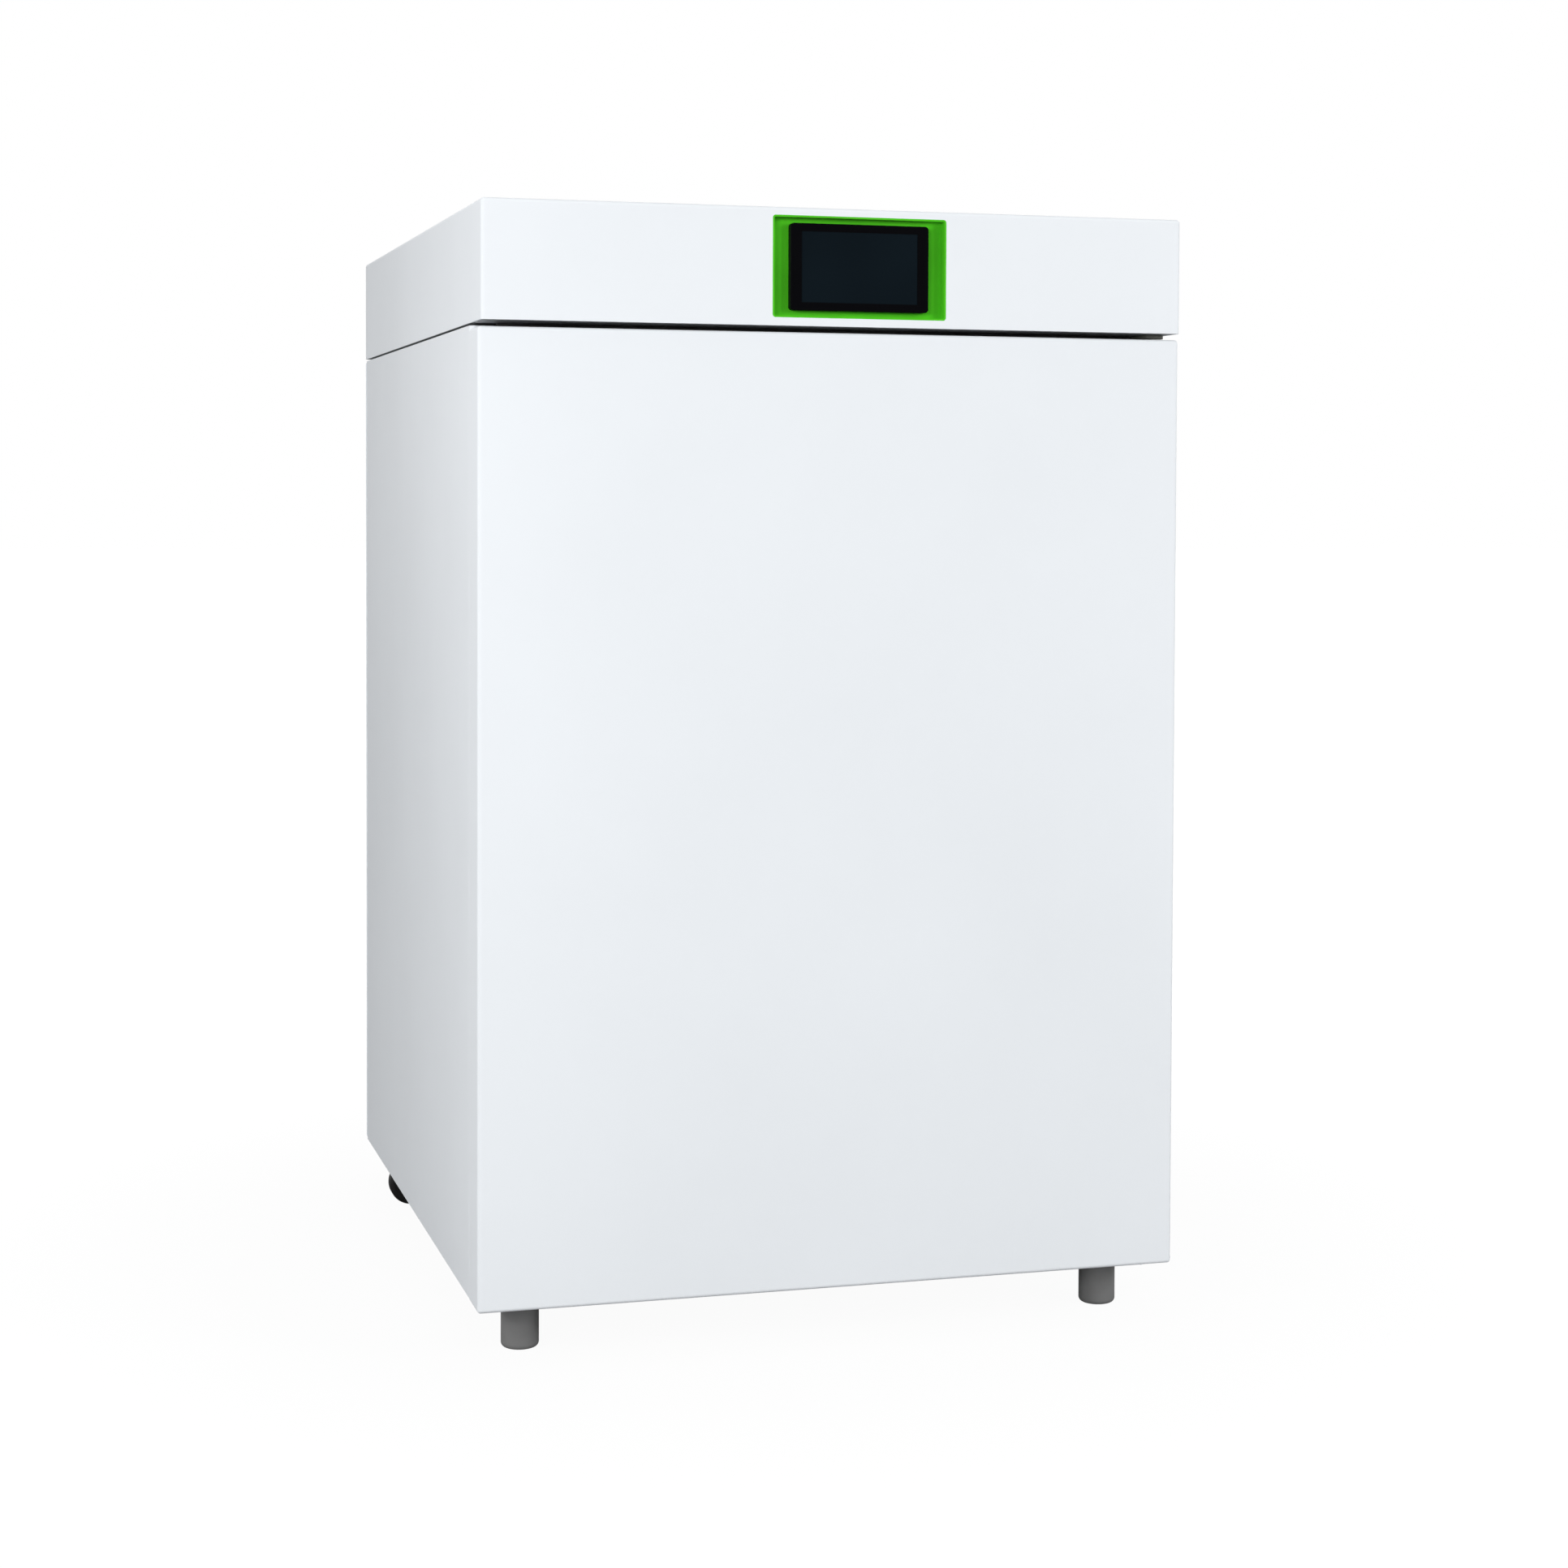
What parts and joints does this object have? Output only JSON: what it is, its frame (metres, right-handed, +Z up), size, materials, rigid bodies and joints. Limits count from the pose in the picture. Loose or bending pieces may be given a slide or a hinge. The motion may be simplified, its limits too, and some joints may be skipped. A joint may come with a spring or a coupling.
{
  "type": "carbon dioxide incubator",
  "caption": "White laboratory CO2 incubator with a touch-screen control head over a plain door, glass inner door, perforated shelves and a humidity pan.",
  "frame": {"origin": "on the floor, under the middle of the case's bounding box", "axes": "+Z up, -Y towards the door, +X to the right of someone who faces the door"},
  "size_m": [0.593, 0.665, 0.924],
  "materials": {
    "white_enamel": "satin",
    "stainless": "brushed",
    "zinc_steel": "satin",
    "dark_trim": "matt",
    "hinge_steel": "satin",
    "green_plastic": "satin",
    "black_plastic": "gloss",
    "dark_plastic": "satin",
    "white_plastic": "satin",
    "display_glass": "gloss",
    "clear_glass": "gloss",
    "silicone": "matt",
    "gasket_grey": "matt",
    "black_rubber": "matt",
    "foot_rubber": "satin",
    "foam": "matt",
    "heater_foil": "satin",
    "aluminium": "satin",
    "brass": "satin",
    "circuit_board": "satin",
    "filter_paper": "matt",
    "tube_plastic": "satin"
  },
  "bodies": {
    "cabinet": {"left_side_panel": "white_enamel", "right_side_panel": "white_enamel", "rear_panel": "white_enamel", "top_deck": "zinc_steel", "base_pan": "zinc_steel", "front_frame": "white_enamel", "gap_trim": "dark_trim", "chamber_liner": "stainless", "chamber_heaters": "heater_foil", "chamber_insulation": "foam", "rack_uprights": "stainless", "shelf_runners": "stainless", "air_duct": "stainless", "fan_cover": "stainless", "fan_motor": "aluminium", "hepa_filter": "filter_paper", "co2_sensor": "white_plastic", "temperature_probe": "stainless", "door_hinge_brackets": "hinge_steel", "glass_hinge_posts": "stainless", "latch_keeper": "stainless", "head_cover": "white_enamel", "head_base": "zinc_steel", "head_rear_panel": "white_enamel", "panel_screws": "zinc_steel", "screen_recess": "green_plastic", "screen_bezel": "black_plastic", "screen_glass": "display_glass", "display_module": "circuit_board", "control_board": "circuit_board", "power_supply": "aluminium", "gas_valve": "brass", "gas_line": "tube_plastic", "gas_ports": "brass", "power_inlet": "black_plastic", "access_port": "stainless", "base_fittings": "zinc_steel"},
    "outer_door": {"door_skin": "white_enamel", "door_liner": "white_enamel", "door_heater": "heater_foil", "door_insulation": "foam", "door_gasket": "gasket_grey", "door_hinge_bushes": "white_plastic"},
    "glass_door": {"glass_pane": "clear_glass", "glass_seal": "silicone", "glass_fittings": "stainless"},
    "latch": {"glass_latch": "dark_plastic"},
    "top_shelf": {"shelf_top": "stainless"},
    "middle_shelf": {"shelf_middle": "stainless"},
    "bottom_shelf": {"shelf_bottom": "stainless"},
    "pan": {"water_pan": "stainless"},
    "fan": {"fan_impeller": "white_plastic"},
    "left_foot": {"foot_left": "foot_rubber"},
    "right_foot": {"foot_right": "foot_rubber"},
    "left_fork": {"caster_fork_left": "zinc_steel"},
    "right_fork": {"caster_fork_right": "zinc_steel"},
    "left_wheel": {"caster_wheel_left": "black_rubber"},
    "right_wheel": {"caster_wheel_right": "black_rubber"},
    "rocker": {"power_rocker": "dark_plastic"},
    "stopper": {"port_stopper": "silicone"}
  },
  "joints": [
    {"name": "outer_door_hinge", "type": "hinge", "parent": "cabinet", "child": "outer_door", "pos_m": [0.281, -0.307, 0.434], "axis": [0, 0, 1], "range_deg": [0, 115]},
    {"name": "glass_door_hinge", "type": "hinge", "parent": "cabinet", "child": "glass_door", "pos_m": [0.224, -0.2645, 0.399], "axis": [0, 0, 1], "range_deg": [0, 104]},
    {"name": "latch_turn", "type": "hinge", "parent": "glass_door", "child": "latch", "pos_m": [-0.202, -0.268, 0.399], "axis": [0, 1, 0], "range_deg": [0, 90]},
    {"name": "top_shelf_slide", "type": "slide", "parent": "cabinet", "child": "top_shelf", "axis": [0, -1, 0], "range_m": [0, 0.1205]},
    {"name": "middle_shelf_slide", "type": "slide", "parent": "cabinet", "child": "middle_shelf", "axis": [0, -1, 0], "range_m": [0, 0.1205]},
    {"name": "bottom_shelf_slide", "type": "slide", "parent": "cabinet", "child": "bottom_shelf", "axis": [0, -1, 0], "range_m": [0, 0.1205]},
    {"name": "water_pan_slide", "type": "slide", "parent": "cabinet", "child": "pan", "axis": [0, -1, 0], "range_m": [0, 0.1205]},
    {"name": "fan_spin", "type": "hinge", "parent": "cabinet", "child": "fan", "pos_m": [0, 0.0425, 0.624], "axis": [0, 0, 1], "continuous": true},
    {"name": "left_foot_screw", "type": "slide", "parent": "cabinet", "child": "left_foot", "axis": [0, 0, -1], "range_m": [0, 0.012]},
    {"name": "right_foot_screw", "type": "slide", "parent": "cabinet", "child": "right_foot", "axis": [0, 0, -1], "range_m": [0, 0.012]},
    {"name": "left_fork_swivel", "type": "hinge", "parent": "cabinet", "child": "left_fork", "pos_m": [-0.244, 0.2305, 0.047], "axis": [0, 0, 1], "continuous": true},
    {"name": "right_fork_swivel", "type": "hinge", "parent": "cabinet", "child": "right_fork", "pos_m": [0.244, 0.2305, 0.047], "axis": [0, 0, 1], "continuous": true},
    {"name": "left_wheel_roll", "type": "hinge", "parent": "left_fork", "child": "left_wheel", "pos_m": [-0.266, 0.2305, 0.021], "axis": [0, 1, 0], "continuous": true},
    {"name": "right_wheel_roll", "type": "hinge", "parent": "right_fork", "child": "right_wheel", "pos_m": [0.266, 0.2305, 0.021], "axis": [0, 1, 0], "continuous": true},
    {"name": "rocker_tip", "type": "hinge", "parent": "cabinet", "child": "rocker", "pos_m": [0.20325, 0.31, 0.875], "axis": [1, 0, 0], "range_deg": [-12, 0]},
    {"name": "stopper_pull", "type": "slide", "parent": "cabinet", "child": "stopper", "axis": [0, 1, 0], "range_m": [0, 0.045]}
  ],
  "couplings": [
    {"joint": "glass_door_hinge", "follows": "outer_door_hinge", "ratio": 0.9},
    {"joint": "top_shelf_slide", "follows": "outer_door_hinge", "m_per_rad": 0.06},
    {"joint": "middle_shelf_slide", "follows": "outer_door_hinge", "m_per_rad": 0.06},
    {"joint": "bottom_shelf_slide", "follows": "outer_door_hinge", "m_per_rad": 0.06},
    {"joint": "water_pan_slide", "follows": "outer_door_hinge", "m_per_rad": 0.06}
  ]
}
